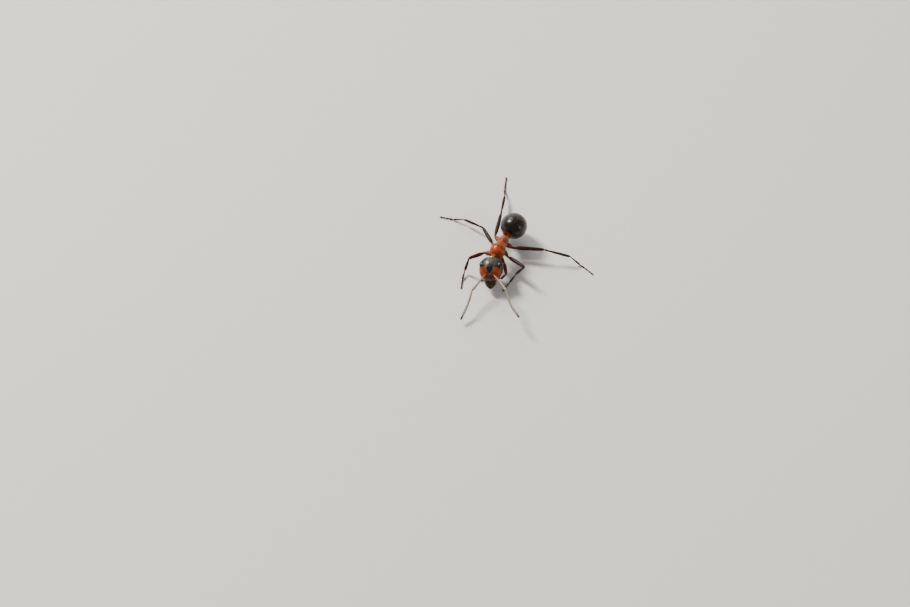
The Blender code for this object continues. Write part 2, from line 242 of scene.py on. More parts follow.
# materials: a wrapped socket that takes part in sums
class Wire:
    def __init__(self, tree, socket=None):
        self.tree, self.socket = tree, socket

    def node(self, kind, settings=None, inputs=None, output=0):
        made = self.tree.nodes.new("ShaderNode" + kind)
        for key, value in (settings or {}).items():
            setattr(made, key, value)
        for key, value in (inputs or {}).items():
            if isinstance(value, Wire):
                self.tree.links.new(value.socket, made.inputs[key])
            else:
                made.inputs[key].default_value = value
        return Wire(self.tree, made.outputs[output])

    def math(self, operation, *values):
        return self.node("Math", {"operation": operation}, dict(enumerate(values)))

    def __add__(self, other):
        return self.math("ADD", self, other)

    def __radd__(self, other):
        return self.math("ADD", other, self)

    def __sub__(self, other):
        return self.math("SUBTRACT", self, other)

    def __rsub__(self, other):
        return self.math("SUBTRACT", other, self)

    def __mul__(self, other):
        return self.math("MULTIPLY", self, other)

    def __rmul__(self, other):
        return self.math("MULTIPLY", other, self)

    def between(self, low, high):  # 0 to 1 as the value goes from low to high
        return self.node("MapRange", {"interpolation_type": "SMOOTHSTEP"},
                         {"Value": self, "From Min": low, "From Max": high})

    def blend(self, first, second):  # colour that turns from first to second by this value
        first = (*first, 1.0) if isinstance(first, tuple) else first
        second = (*second, 1.0) if isinstance(second, tuple) else second
        return self.node("Mix", {"data_type": "RGBA"}, {0: self, 6: first, 7: second}, 2)

    def noise(self, place, perMm, detail=3.0):  # cloudy value round 0.5, so many waves a millimetre
        return self.node("TexNoise", {}, {"Vector": place, "Scale": perMm / mm, "Detail": detail})

    def cells(self, place, perMm):  # distance to the middle of the nearest cell
        return self.node("TexVoronoi", {"feature": "F1"}, {"Vector": place, "Scale": perMm / mm})

    def mark(self, name):  # a value stored on the piece's own points
        return self.node("Attribute", {"attribute_name": name}, output=2)


def newMaterial(name, **constants):  # with a first wire and the object's own coordinates
    material = bpy.data.materials.new(name)
    material.use_nodes = True
    shader = material.node_tree.nodes["Principled BSDF"]
    for key, value in constants.items():
        shader.inputs[key.replace("_", " ")].default_value = value
    start = Wire(material.node_tree)
    place = start.node("TexCoord", output=3)
    return material, shader, start, place


def connect(shader, **wires):  # names are the shader's own, a line for each space
    for key, wire in wires.items():
        wire.tree.links.new(wire.socket, shader.inputs[key.replace("_", " ")])


cuticleLook = {
    "rustDeep": (0.19, 0.017, 0.0010), "rust": (0.31, 0.036, 0.0016), "rustPale": (0.44, 0.095, 0.007),
    "brown": (0.036, 0.0065, 0.0018), "black": (0.0060, 0.0042, 0.0035),
    "cloudsPerMm": 2.2, "specksPerMm": 14.0, "grainPerMm": 34.0,
    "cloudStain": 0.16, "speckStain": 0.14, "paleShare": 0.55,
    "speckRoughness": 0.22, "bloomRoughness": 0.25, "coatRoughness": 0.14, "bumpStrength": 0.8,
}


def cuticle(name, relief, gloss, coat, specular, bloomColour=(0.25, 0.26, 0.215)):
    # the points' tone turns rust to brown to black; their down and sheen mark lays pale down over
    # that, with painted sheen where a piece raises it on upward faces; clouds and specks vary both,
    # and fine cells give the grain
    look = cuticleLook
    material, shader, start, place = newMaterial(
        name, Coat_Weight=coat, Coat_Roughness=look["coatRoughness"], Specular_IOR_Level=specular)
    clouds = start.noise(place, look["cloudsPerMm"])
    specks = start.noise(place, look["specksPerMm"], 4.0)
    pores = start.cells(place, look["grainPerMm"])
    tone = start.mark("tone") + (clouds - 0.5) * look["cloudStain"] + (specks - 0.5) * look["speckStain"]
    red = clouds.between(0.30, 0.72).blend(look["rustDeep"], look["rust"])
    red = (specks.between(0.42, 0.80) * look["paleShare"]).blend(red, look["rustPale"])
    dark = tone.between(0.55, 0.95).blend(look["brown"], look["black"])
    colour = tone.between(0.20, 0.62).blend(red, dark)
    # this mark is pale down plus the painted sheen that the pieces raise on upward faces
    bloom = start.mark("bloom") * (0.55 + 0.9 * (specks - 0.3))
    colour = bloom.between(0.0, 1.0).blend(colour, bloomColour)
    rough = gloss + look["speckRoughness"] * (specks - 0.4) + look["bloomRoughness"] * bloom
    bump = start.node("Bump", {}, {"Height": pores * 0.6 + specks * 0.8, "Distance": relief * mm,
                                   "Strength": look["bumpStrength"]})
    connect(shader, Base_Color=colour, Roughness=rough, Normal=bump)
    return material


lensLook = {"lensesPerMm": 38.0, "lensRelief": 0.006, "rimColour": (0.004, 0.003, 0.003),
            "lensColour": (0.020, 0.016, 0.014), "coat": 0.30, "coatRoughness": 0.08, "specular": 0.30}


def lenses():
    # a black dome of small cells: paler and raised at each cell's middle, darker between the cells
    look = lensLook
    material, shader, start, place = newMaterial(
        "eyeLenses", Coat_Weight=look["coat"], Coat_Roughness=look["coatRoughness"],
        Specular_IOR_Level=look["specular"])
    away = start.cells(place, look["lensesPerMm"])
    clouds = start.noise(place, 5.0)
    colour = (away * 0.7 + clouds * 0.5).between(0.2, 1.0).blend(look["lensColour"], look["rimColour"])
    bump = start.node("Bump", {"invert": True},
                      {"Height": away, "Distance": look["lensRelief"] * mm, "Strength": 0.7})
    connect(shader, Base_Color=colour, Roughness=0.20 + clouds * 0.16, Normal=bump)
    return material


hairLook = {"specular": 0.6, "stain": (0.05, 0.035, 0.03), "stainShare": 0.30}


def hair(name, root, tip):
    # root colour turns to tip colour along each hair, stained where the skin under it is dark
    look = hairLook
    material, shader, start, place = newMaterial(name, Specular_IOR_Level=look["specular"])
    clouds = start.noise(place, 9.0)
    colour = (start.mark("along") * 0.8 + clouds * 0.3).between(0.0, 1.0).blend(root, tip)
    colour = (start.mark("tone") * look["stainShare"]).blend(colour, look["stain"])
    connect(shader, Base_Color=colour, Roughness=0.30 + clouds * 0.2)
    return material


# relief in mm, roughness, clear coat, specular level, then the colour of the down and painted sheen
bodySurface = cuticle("cuticle", 0.0025, 0.26, 0.16, 0.26)
gasterSurface = cuticle("gasterCuticle", 0.0035, 0.30, 0.16, 0.32, (0.28, 0.25, 0.20))
limbSurface = cuticle("limbCuticle", 0.0020, 0.40, 0.03, 0.13, (0.50, 0.41, 0.30))
jawSurface = cuticle("jawCuticle", 0.0016, 0.24, 0.55, 0.45)
feelerSurface = cuticle("feelerCuticle", 0.0020, 0.36, 0.10, 0.32, (0.50, 0.43, 0.34))
lensSurface = lenses()
goldHair = hair("goldenHair", (0.40, 0.22, 0.08), (0.72, 0.55, 0.32))
silverHair = hair("silverDown", (0.30, 0.26, 0.20), (0.66, 0.60, 0.50))
greyHair = hair("greyDown", (0.030, 0.024, 0.017), (0.17, 0.15, 0.115))
amberHair = hair("amberDown", (0.05, 0.018, 0.006), (0.26, 0.14, 0.06))
print("materials ready")


# hair: thin tapered needles, three faces round
def rootsOn(rings, density, number, rng, strip):
    # random cells of the grid, drawn by area times density, with a random place inside each cell;
    # hairs lie towards the last row; the unwrap is one strip of the piece's map: (which, of how many)
    rows, around = rings.shape[:2]
    along = rings[1:] - rings[:-1]
    across = np.roll(rings, -1, axis=1)[:-1] - rings[:-1]
    area = np.linalg.norm(np.cross(along, across), axis=-1)
    chance = (area * np.broadcast_to(density, (rows, around))[:-1]).reshape(-1)
    cell = rng.choice(len(chance), number, p=chance / chance.sum())
    i, j = cell // around, cell % around
    a, b = rng.random((2, number))
    normals = gridNormals(rings)[i, j]
    root = rings[i, j] + a[:, None] * along[i, j] + b[:, None] * across[i, j]
    which, strips = strip
    unwrap = np.stack([(which + (j + b) / around) / strips, (i + a) / rows], -1) * 0.99 + 0.002
    return {"root": root, "normal": normals, "lie": unit(along[i, j]), "unwrap": unwrap, "cell": (i, j)}


needle = {"levels": (0.0, 0.38, 0.72), "taper": 0.75, "spread": 0.16, "shortest": 0.7, "variety": 0.6,
          "patchStep": 0.001}


def needles(roots, length, thick, stand, bend, tone, rng):
    # centre line is foot + s*length*start + s*s*length*bend*lie; three rings of three points and a tip
    look = needle
    number = len(roots["root"])
    length = length * (look["shortest"] + look["variety"] * rng.random(number))[:, None]
    spread = rng.normal(0, look["spread"], (number, 3))
    start = unit(roots["normal"] * stand + roots["lie"] * (1 - stand) + spread)
    side = unit(np.cross(start, roots["normal"] + 0.3 * roots["lie"]))
    over = np.cross(side, start)
    levels = np.array(look["levels"])
    turn = np.radians((0, 120, 240))[None, :, None]
    circle = np.cos(turn) * side[:, None] + np.sin(turn) * over[:, None]
    foot = roots["root"] - roots["normal"] * thick
    centre = [foot + length * (s * start + s * s * bend * roots["lie"]) for s in (*levels, 1.0)]
    wide = thick * (1 - look["taper"] * levels)
    rings = np.stack([centre[k][:, None] + wide[k] * circle for k in range(3)], 1)
    points = np.concatenate([rings.reshape(number, 9, 3), centre[3][:, None]], 1)
    each = points.shape[1]
    base = np.arange(number)[:, None] * each
    quads = np.concatenate([base + np.array([r + c, r + (c + 1) % 3, r + 3 + (c + 1) % 3, r + 3 + c])
                            for r in (0, 3) for c in range(3)])
    tris = np.concatenate([base + np.array([6 + c, 6 + (c + 1) % 3, 9]) for c in range(3)]
                          + [base + np.array([0, 2, 1])])
    patch = np.stack([np.arange(each) % 4, np.arange(each) // 4], -1) * look["patchStep"]
    unwrap = (roots["unwrap"][:, None] + patch[None]).reshape(-1, 2)
    along = np.tile(np.repeat((*levels, 1.0), (3, 3, 3, 1)), number)
    return {"points": points.reshape(-1, 3), "quads": quads, "tris": tris,
            "marks": {"along": along, "tone": np.repeat(tone, each)}, "unwrap": unwrap}


def coatOf(rings, tone, layers, rng, strip=(0, 1)):
    # each layer: density over the grid, number, length, thickness, how far it stands up, and bend
    tone = np.broadcast_to(tone, rings.shape[:2])
    made = []
    for density, number, *sizes in layers:
        roots = rootsOn(rings, density, number, rng, strip)
        made.append(needles(roots, *sizes, tone[roots["cell"]], rng))
    return joined(made)


# head: a superellipse box with the face's plates pressed into it
head = {
    "width": 2.05, "length": 2.14, "crown": 0.70, "throat": 0.52,
    "taper": 0.20, "crownDrop": 0.28, "faceDip": 0.10,  # all grow towards the jaws
    "backCurve": 2.65, "frontCurve": 2.5, "sideCurve": 2.3, "topCurve": 2.1,
    "eyePlace": (0.80, 0.30, 0.33), "eyeTilt": 32.0, "eyeSize": (0.185, 0.30, 0.235),
    "socketPlace": (0.27, -0.53),
    "shieldPlace": -0.83, "shieldSize": (0.56, 0.29), "shieldSwell": 0.065,
    "ocelli": ((0.0, 0.42), (0.13, 0.60), (-0.13, 0.60)), "ocellusSize": 0.045, "ocellusHeight": 0.020,
    # height and width of each raised or sunk feature
    "shieldGroove": (-0.030, 0.055), "shieldKeel": (0.016, 0.030),
    "socket": (-0.075, 0.115), "socketRim": (0.022, 0.028), "carina": (0.050, 0.030),
    "browDip": (-0.020, 0.075), "browLine": (-0.010, 0.014), "ocellusMoat": (-0.008, 0.014),
    "eyeMoat": (-0.022, 0.12), "cheek": (0.030, 0.22), "throatSeam": (-0.014, 0.018),
    "mouthHollow": (-0.085, 0.30), "neckHollow": (-0.030, 0.26),
    # tones of the marks, then the strength of their down, painted sheen and painted highlights
    "cheekTone": 0.30, "shieldTone": 0.52, "lipTone": 0.56, "socketTone": 0.80, "carinaTone": 0.85,
    "crownDownAndSheen": 0.38, "bandSheen": 0.42, "carinaHighlight": 0.56, "lipFringeAndHighlight": 0.55,
    # number, length, thickness, stand and bend of the hairs
    "down": (3600, 0.080, 0.0026, 0.16, 0.10), "bristles": (150, 0.20, 0.0062, 0.75, 0.25),
}


def headSize(t):  # t is -1 at the back and 1 at the jaws
    look = head
    front = np.clip(t, 0, 1)
    end = np.where(t < 0, roundEnd(t, look["backCurve"]), roundEnd(t, look["frontCurve"]))
    wide = look["width"] / 2 * end * (1 - look["taper"] * front ** 1.5)
    crown = look["crown"] * end * (1 - look["crownDrop"] * front)
    throat = look["throat"] * end * (1 - look["taper"] * front)
    return wide, crown, throat, look["faceDip"] * front ** 2


def headPoint(x, y):  # height of the face over a place, before its features
    wide, crown, _, dip = headSize(-y / (head["length"] / 2))
    across = np.clip(np.abs(x) / wide, 0, 1)
    return crown * (1 - across ** head["sideCurve"]) ** (1 / head["topCurve"]) - dip


def headGrid(rows=230, around=240):
    # half width and half height follow superellipses of the place along the head; then each
    # feature moves the surface along its normal by its height times a bell of the distance
    look = head
    t = -oneToMinusOne(rows)
    angle = evenRound(around)
    wide, crown, throat, dip = headSize(t)
    x = wide * squared(np.cos(angle), look["sideCurve"])
    y = -t * look["length"] / 2 + 0 * angle
    z = np.where(np.sin(angle) > 0, crown, throat) * squared(np.sin(angle), look["topCurve"]) - dip
    grid = np.stack([x, y, z], -1)
    normals = gridNormals(grid)
    outer = np.abs(x)
    face = ramp(z, 0.0, 0.25)
    below = ramp(-z, 0.05, 0.30)

    wide, long = look["shieldSize"]
    shield = np.sqrt((x / wide) ** 2 + (np.abs(y - look["shieldPlace"]) / long) ** 2.4)
    sx, sy = look["socketPlace"]
    pit = np.hypot(outer - sx, y - sy)
    ridge = outer - 0.175 - 0.16 * ramp(y, -0.55, -0.05)
    ex, ey, ez = look["eyePlace"]
    _, long, tall = look["eyeSize"]
    eyeRim = np.hypot((y - ey) / (long + 0.03), (z - ez - (ex - outer) * 0.5) / (tall * 0.9))
    move = look["shieldSwell"] * (1 - np.clip(shield, 0, 1) ** 2) * face
    move = move + raised(
        look,
        ("shieldGroove", shield - 1.02, face),
        ("shieldKeel", x, ramp(1.0 - shield, 0.0, 0.25) * face),
        ("socket", pit, face),
        ("socketRim", pit - look["socket"][1] * 1.25, face),
        ("carina", ridge, ramp(y, -0.66, -0.52) * ramp(-y, 0.02, 0.28) * face),
        ("browDip", x, bell(y + 0.47, 0.07) * face),
        ("browLine", x, ramp(y, -0.42, -0.30) * ramp(-y, -0.36, -0.20) * face),
        ("eyeMoat", eyeRim - 1.0, ramp(outer, 0.5, 0.62)),
        ("cheek", outer - 0.72, bell(y + 0.45, 0.30)),
        ("throatSeam", x, below * ramp(y, -0.75, -0.5)),
        ("mouthHollow", x, below * ramp(-y, 0.62, 0.82)),
        ("neckHollow", np.hypot(x, z - 0.10), ramp(y, 0.8, 1.0)))
    size = look["ocellusSize"]
    spots = [np.hypot(x - ox, y - oy) for ox, oy in look["ocelli"]]
    for spot in spots:
        move = move + look["ocellusHeight"] * np.clip(1 - (spot / size) ** 2, 0, 1) * face
        move = move + raised(look, ("ocellusMoat", spot - size * 1.3, face))
    grid = grid + normals * move[..., None]

    # black crown running down between the feelers, rusty cheeks, dark shield, lip, sockets, ocelli
    # and carinae
    edge = -0.50 + 0.52 * ramp(outer, 0.12, 0.38) - 0.05 * ramp(outer, 0.6, 0.8)
    tone = strongest(
        (look["cheekTone"], 1),
        (1, ramp(y - edge, -0.10, 0.14) * ramp(z, -0.25, 0.10)),
        (look["shieldTone"], ramp(1.16 - shield, 0.0, 0.14) * face),
        (look["lipTone"], ramp(-y, 0.90, 0.99)),
        (look["socketTone"], bell(pit, 0.07) * face),
        *((1, ramp(size * 1.4 - spot, 0, 0.02)) for spot in spots))
    # grey down with painted sheen on the upper crown but not along its middle, a painted highlight on
    # the carinae with painted sheen beside them, and a fringe of down with a painted highlight on the
    # lip
    crown = ramp(y, -0.05, 0.35) * ramp(z, 0.1, 0.4) * (0.55 + 0.45 * bell(outer - 0.42, 0.25))
    streak = bell(ridge, 0.050) * ramp(y, -0.60, -0.48) * ramp(-y, -0.30, 0.0) * face
    band = bell(ridge - 0.04, 0.10) * ramp(y, -0.35, 0.0) * ramp(-y, -0.45, -0.20) * face
    bloom = strongest(
        (look["crownDownAndSheen"], crown * (1 - 0.85 * bell(x, 0.15) * ramp(0.42 - y, 0.0, 0.10))),
        (look["bandSheen"], band * ramp(tone, 0.5, 0.9)),
        (look["carinaHighlight"], streak),
        (look["lipFringeAndHighlight"], ramp(-y, 0.93, 0.98) * ramp(y, -1.05, -1.02) * face))
    return grid, strongest((1, tone), (look["carinaTone"], streak)), bloom


def buildHead(rng):
    grid, tone, bloom = headGrid()
    grid = placed(grid, body["headPlace"], headAxes)
    makePiece("headCapsule", loft(grid, tone=tone, bloom=bloom), bodySurface, ["head"])
    # down is thickest on the upper side but thin on the shield; bristles, on the face and the throat
    rows, around = tone.shape
    y = np.linspace(1, -1, rows)[:, None]
    top = ramp(np.sin(evenRound(around)), -0.2, 0.3)
    down = 0.3 + 0.7 * top * (1 - 0.75 * ramp(-y, 0.45, 0.6))
    bristles = 0.15 + ramp(-y, 0.35, 0.7) * top + 0.5 * (1 - top) * ramp(-y, -0.4, 0.3)
    coat = coatOf(grid, tone, [(down, *head["down"]), (bristles, *head["bristles"])], rng)
    makePiece("headDown", coat, greyHair)
    for name, side in sides:
        buildEye(name, side)
        buildJaw(name, side)
    buildMouth()
    print("head done")


def buildEye(name, side):
    # an egg of stated half sizes, tilted so that it looks out and up
    t = oneToMinusOne(60, 0.04)
    angle = evenRound(72)
    r = np.sqrt(1 - t ** 2)
    deep, long, tall = head["eyeSize"]
    egg = np.stack([deep * r * np.cos(angle), -long * t + 0 * angle,
                    tall * r * np.sin(angle) * (1 + 0.12 * t)], -1)
    tilt = np.radians(-head["eyeTilt"] * side)
    turn = np.array([[np.cos(tilt), 0, np.sin(tilt)], [0, 1, 0], [-np.sin(tilt), 0, np.cos(tilt)]])
    x, y, z = head["eyePlace"]
    egg = placed(placed(egg, (x * side, y, z), turn), body["headPlace"], headAxes)
    makePiece("eye" + name.title(), loft(egg), lensSurface, ["eye_" + name])


jaw = {"root": 0.60, "reach": 0.82, "back": -0.84, "level": -0.17, "thick": 0.17, "thinning": 0.62,
       "bulge": 1.6, "tipSink": 0.14, "edgeSink": 0.05, "furrow": 0.010, "furrows": 14.0,
       "teeth": 8, "toothSize": 0.036, "gap": 0.0005, "tone": 0.56, "biteTone": 0.32, "tipTone": 0.20}


def buildJaw(name, side):
    # a blade between a bulging outer edge and a zigzag bite line, whose teeth mesh with the other jaw's
    look = jaw
    u = np.linspace(0.0, 1.0, 140)[:, None]
    angle = evenRound(40)
    c, s = np.cos(angle), np.sin(angle)
    outer = look["root"] * roundEnd(u * 0.995, look["bulge"])
    saw = np.abs(((u * look["teeth"]) % 1.0) * 2 - 1) * 2 - 1
    line = look["toothSize"] * saw * ramp(u, 0.10, 0.22) * ramp(1 - u, 0.0, 0.15)
    inner = np.minimum(side * line + look["gap"], outer * 0.98)
    thick = look["thick"] * (1 - look["thinning"] * u ** 1.3) * roundEnd(2 * u - 1, 9)
    x = (outer + inner) / 2 + (outer - inner) / 2 * c
    y = look["back"] - look["reach"] * u - 0.03 * (1 - c) * (1 - u) + 0 * c
    dome = thick * squared(s, 1.7) * (0.62 + 0.38 * np.clip(c + 0.4, 0, 1))
    furrow = look["furrow"] * np.cos(x / outer * look["furrows"]) * np.clip(s, 0, 1)
    z = look["level"] + dome - furrow * ramp(outer, 0.08, 0.25) - look["tipSink"] * u ** 1.5
    z = z - look["edgeSink"] * np.clip(x / look["root"], 0, 1) ** 2
    blade = placed(np.stack([x * side, y, z], -1), body["headPlace"], headAxes)
    tone = look["tone"] + look["biteTone"] * ramp(-c, 0.3, 0.9) + look["tipTone"] * ramp(u, 0.7, 1.0)
    shape = loft(blade, tone=tone, bloom=0.04 * ramp(u, 0.0, 0.4))
    makePiece("jaw" + name.title(), shape, jawSurface, ["mandible_" + name])


mouth = {
    # start and end, places and radii along it, and tone of each plate
    "plate": ((0.10, -0.48, -0.46), (0.07, -1.05, -0.34), (0, .3, .8, 1), (.07, .12, .10, .05), 0.35),
    "lip": ((0, -0.50, -0.50), (0, -1.08, -0.36), (0, .4, 1), (.06, .09, .04), 0.45),
    "palpSteps": ((0.10, -0.86, -0.42), (0.24, -0.80, -0.56), (0.34, -0.60, -0.66),
                  (0.36, -0.36, -0.72), (0.33, -0.14, -0.74), (0.28, 0.06, -0.72)),
    "palpRadii": (.020, .026, .030, .022), "palpTone": 0.52,
}


def buildMouth():
    # plates in the mouth hollow, and two jointed palps that fold back under the head
    look = mouth
    shapes = []
    for part, side in (("plate", 1), ("plate", -1), ("lip", 1)):
        start, end, places, radii, tone = look[part]
        mirror = np.array([side, 1, 1])
        grid = limb(start * mirror, end * mirror, places, radii, 24, 20)
        shapes.append(loft(grid, tone=tone, bloom=0.0))
    for side in (1, -1):
        steps = np.array(look["palpSteps"]) * [side, 1, 1]
        for a, b in zip(steps[:-1], steps[1:]):
            shapes.append(loft(limb(a, b, (0, .25, .8, 1), look["palpRadii"], 14, 12),
                               tone=look["palpTone"], bloom=0.05))
    whole = joined(shapes)
    whole["points"] = placed(whole["points"], body["headPlace"], headAxes)
    makePiece("mouthparts", whole, limbSurface)


# feelers: a long shaft with a ball root, then eleven joints
feeler = {
    "shaft": 2.10, "lash": 2.85, "joints": 11, "firstJoint": 0.27, "lastJoint": 0.40,
    # turn and rise of the shaft and of the two lengths that the lash's bend parts
    "left": ((57, 4), (43, -11), (52, 3)), "right": ((-11, -7), (10, -16), (2, -22)),
    "steps": (1.29, 1.56),
    "shaftPlaces": (0, .03, .055, .10, .45, .85, .97, 1),
    "shaftRadii": (.056, .070, .042, .060, .088, .110, .110, .085), "shaftBow": 0.05,
    "lashPlaces": (0, .08, .45, .85, 1), "lashRadii": (.060, .078, .090, .098, .080),
    # pinch at the joints, the dark end, and the painted sheen over the down on the upper side
    "pinch": 0.34, "pinchWidth": 0.020, "tipLength": 0.13, "tipShade": 0.75, "upperSheen": 0.80,
    "hairSize": (0.052, 0.0030, 0.24, 0.12),  # length, thickness, stand and bend
}


def feelerPoints(name, side):  # root, elbow, the lash's bend and its tip
    look = feeler
    x, y = head["socketPlace"]
    root = placed((x * side, y, headPoint(x, y) - 0.03), body["headPlace"], headAxes)
    shaft, first, second = (heading(*turns) for turns in look[name])
    tip = root + look["shaft"] * shaft
    middle = tip + look["steps"][0] * first
    return root, tip, middle, middle + look["steps"][1] * second


def buildFeeler(name, side, rng):
    look = feeler
    root, tip, middle, end = feelerPoints(name, side)
    shaft = limb(root, tip, look["shaftPlaces"], look["shaftRadii"], 90, 28, look["shaftBow"])
    # lash: a curve through three points; its radius dips at every joint
    s = np.linspace(0, 1, 330)
    path = smoothThrough((0, look["steps"][0] / sum(look["steps"]), 1), (tip, middle, end), s)
    length = lengthAlong(path)
    inner = (look["lash"] - look["firstJoint"] - look["lastJoint"]) / (look["joints"] - 2)
    joints = np.concatenate([[0], look["firstJoint"] + inner * np.arange(look["joints"] - 1)])
    nearest = np.abs(length[:, None] - joints * length[-1] / look["lash"]).min(axis=1)
    radii = smoothThrough(look["lashPlaces"], look["lashRadii"], length / length[-1])
    radii = radii * (1 - look["pinch"] * bell(nearest, look["pinchWidth"]))
    left = np.clip((length[-1] - length) / look["tipLength"], 0.02, 1)
    lash = tube(path, radii * np.sqrt(1 - (1 - left) ** 2), 26)
    # rusty root, silver down over the rest with painted sheen on its upper side, dark end
    shapes, hairs = [], []
    for grid, dark, number, bare, dusky in ((shaft, 0.34, 900, 0.60, 0.0),
                                            (lash, 0.50, 2200, 0.01, look["tipShade"])):
        s = np.linspace(0, 1, len(grid))[:, None]
        shade = dusky * ramp(s, 0.80, 0.93)
        pale = ramp(s, 0.2 * bare, bare) * (1 - shade)
        tone = dark * pale + 0.10 + 0.10 * s + 0.60 * shade
        up = gridNormals(grid)[..., 2]
        bloom = (0.06 + look["upperSheen"] * ramp(up, 0.10, 0.85)) * pale
        shapes.append(loft(grid, tone=tone, bloom=bloom))
        layers = [(0.15 + pale, number, *look["hairSize"])]
        hairs.append(coatOf(grid, tone, layers, rng, (len(hairs), 2)))
    title = name.title()
    makePiece("feeler" + title, joined(shapes), feelerSurface,
              ["scape_" + name, "funiculus_" + name])
    makePiece("feelerDown" + title, joined(hairs), silverHair)


# trunk: three plates on one skin, parted by grooves
trunk = {
    # back, half width, top and bottom
    "stations": ((-1.26, 0.30, 0.18, -0.08), (-1.14, 0.46, 0.35, -0.20), (-0.98, 0.59, 0.50, -0.31),
                 (-0.62, 0.69, 0.65, -0.42), (-0.22, 0.57, 0.68, -0.54), (0.10, 0.49, 0.58, -0.60),
                 (0.36, 0.44, 0.42, -0.62), (0.66, 0.46, 0.45, -0.60), (0.94, 0.40, 0.27, -0.50),
                 (1.14, 0.26, 0.03, -0.34)),
    "endCurve": 6.0, "sideCurve": 2.2, "slope": 0.08,
    "collarPlace": -1.13, "suturePlace": -0.44, "waistGroovePlace": 0.34,
    # height and width of each raised or sunk feature
    "collar": (-0.035, 0.035), "suture": (-0.060, 0.040), "backSwell": (0.024, 0.11),
    "waistGroove": (-0.085, 0.060), "grooveStep": (-0.022, 0.022), "slantSeam": (-0.030, 0.026),
    "lowSeam": (-0.020, 0.024), "hipSwell": (0.035, 0.20), "glandSwell": (0.030, 0.14),
    "rearDip": (-0.020, 0.10),
    # breathing holes: back, height and radius, then the rim and the pit
    "sideHole": (0.72, 0.10, 0.050), "sideRim": (0.016, 0.018), "sidePit": (-0.035, 0.026),
    "topHole": (0.42, 0.34, 0.040), "topRim": (0.012, 0.016), "topPit": (-0.025, 0.022),
    # tones of the marks, then grey down with painted sheen on the back and behind the waist groove
    "sutureTone": 0.46, "grooveTone": 0.48, "seamTone": 0.20, "collarTone": 0.26, "saddleTone": 0.16,
    "underTone": 0.22, "topDownAndSheen": 0.08, "rearDownAndSheen": 0.22,
    "down": (1500, 0.060, 0.0024, 0.18, 0.12), "bristles": (120, 0.16, 0.0044, 0.85, 0.18),
}


def buildTrunk(rng):
    # cross sections are superellipses between top and bottom; grooves follow slanting planes
    look = trunk
    rows, around = 220, 200
    table = np.array(look["stations"])
    t = -oneToMinusOne(rows)[:, 0]
    y = (table[0, 0] + table[-1, 0]) / 2 + t * (table[-1, 0] - table[0, 0]) / 2
    wide, top, bottom = smoothThrough(table[:, 0], table[:, 1:], y).T
    end = roundEnd(t, look["endCurve"])
    angle = evenRound(around)
    middle, tall = (top + bottom) / 2, (top - bottom) / 2
    x = (wide * end)[:, None] * squared(np.cos(angle), look["sideCurve"])
    z = middle[:, None] + (tall * end)[:, None] * np.sin(angle) \
        - look["slope"] * end[:, None] * np.cos(angle) ** 2
    y = y[:, None] + 0 * x
    grid = np.stack([x, y, z], -1)
    normals = gridNormals(grid)
    outer = np.abs(x)
    back = ramp(z, -0.15, 0.30)
    flank = ramp(outer, 0.22, 0.36) * ramp(0.38 - z, 0.0, 0.25)

    collar = y - look["collarPlace"] - 0.10 * ramp(-z, -0.1, 0.3)
    suture = y - look["suturePlace"] + 0.26 * ramp(0.45 - z, 0.0, 0.7)
    groove = y - look["waistGroovePlace"] - 0.10 * ramp(0.4 - z, 0, 0.5)
    slant = y - 0.30 + 0.30 * (z + 0.1)
    low = z + 0.12 + 0.22 * (y + 0.1)
    move = raised(
        look,
        ("collar", collar, 1),
        ("suture", suture, ramp(z, -0.42, -0.15)),
        ("backSwell", suture - 0.10, back),
        ("waistGroove", groove, back),
        ("grooveStep", groove - 0.11, back * ramp(outer, -0.1, 0.2)),
        ("slantSeam", slant, flank * ramp(-z, -0.3, 0.0)),
        ("lowSeam", low, flank * ramp(y, -0.45, -0.3) * ramp(-y, -0.3, -0.15)),
        ("hipSwell", np.hypot(y + 0.08, z + 0.35), flank),
        ("glandSwell", np.hypot(y - 0.78, z + 0.38), flank),
        ("rearDip", x, ramp(y, 0.85, 1.05) * back))
    for name, where in (("side", flank), ("top", ramp(outer, 0.15, 0.25))):
        hy, hz, radius = look[name + "Hole"]
        hole = np.hypot(y - hy, z - hz)
        move = move + raised(look, (name + "Rim", hole - radius, where), (name + "Pit", hole, where))
    grid = grid + normals * move[..., None]

    # dark suture, groove, seams and collar, a dusky saddle, and grey down with painted sheen on the
    # upward faces of the back, stronger behind the waist groove
    tone = 0.02 + look["sutureTone"] * bell(suture, 0.035) + look["collarTone"] * bell(collar, 0.04)
    tone = tone + look["grooveTone"] * bell(groove, 0.045) * back
    tone = tone + look["seamTone"] * bell(slant, 0.030) * flank
    tone = tone + look["saddleTone"] * bell(np.hypot(x, (y + 0.10) / 1.3), 0.26) * back
    tone = tone + look["underTone"] * ramp(-z, 0.25, 0.55)
    bloom = look["topDownAndSheen"] + look["rearDownAndSheen"] * ramp(groove, 0.10, 0.25)
    bloom = 0.02 + bloom * ramp(normals[..., 2], 0.2, 0.9)
    grid = placed(grid, body["thoraxPlace"], thoraxAxes)
    makePiece("trunk", loft(grid, tone=tone, bloom=bloom), bodySurface,
              ["pronotum", "mesothorax", "propodeum"])
    upper = ramp(z, -0.45, -0.1)
    ridge = back * ramp(y, -1.1, -0.9)
    coat = coatOf(grid, tone, [(upper, *look["down"]), (ridge, *look["bristles"])], rng)
    makePiece("trunkDown", coat, goldHair)
    print("trunk done")


neck = {"thoraxEnd": (0, -1.02, 0.02), "headEnd": (0, 0.90, 0.04), "places": (0, .35, .6, 1),
        "radii": (.24, .23, .15, .13), "tone": 0.30}


def buildNeck():
    look = neck
    start = placed(look["thoraxEnd"], body["thoraxPlace"], thoraxAxes)
    end = placed(look["headEnd"], body["headPlace"], headAxes)
    shape = loft(limb(start, end, look["places"], look["radii"], 50, 40), tone=look["tone"], bloom=0.05)
    makePiece("neckJoint", shape, bodySurface, ["neck"])


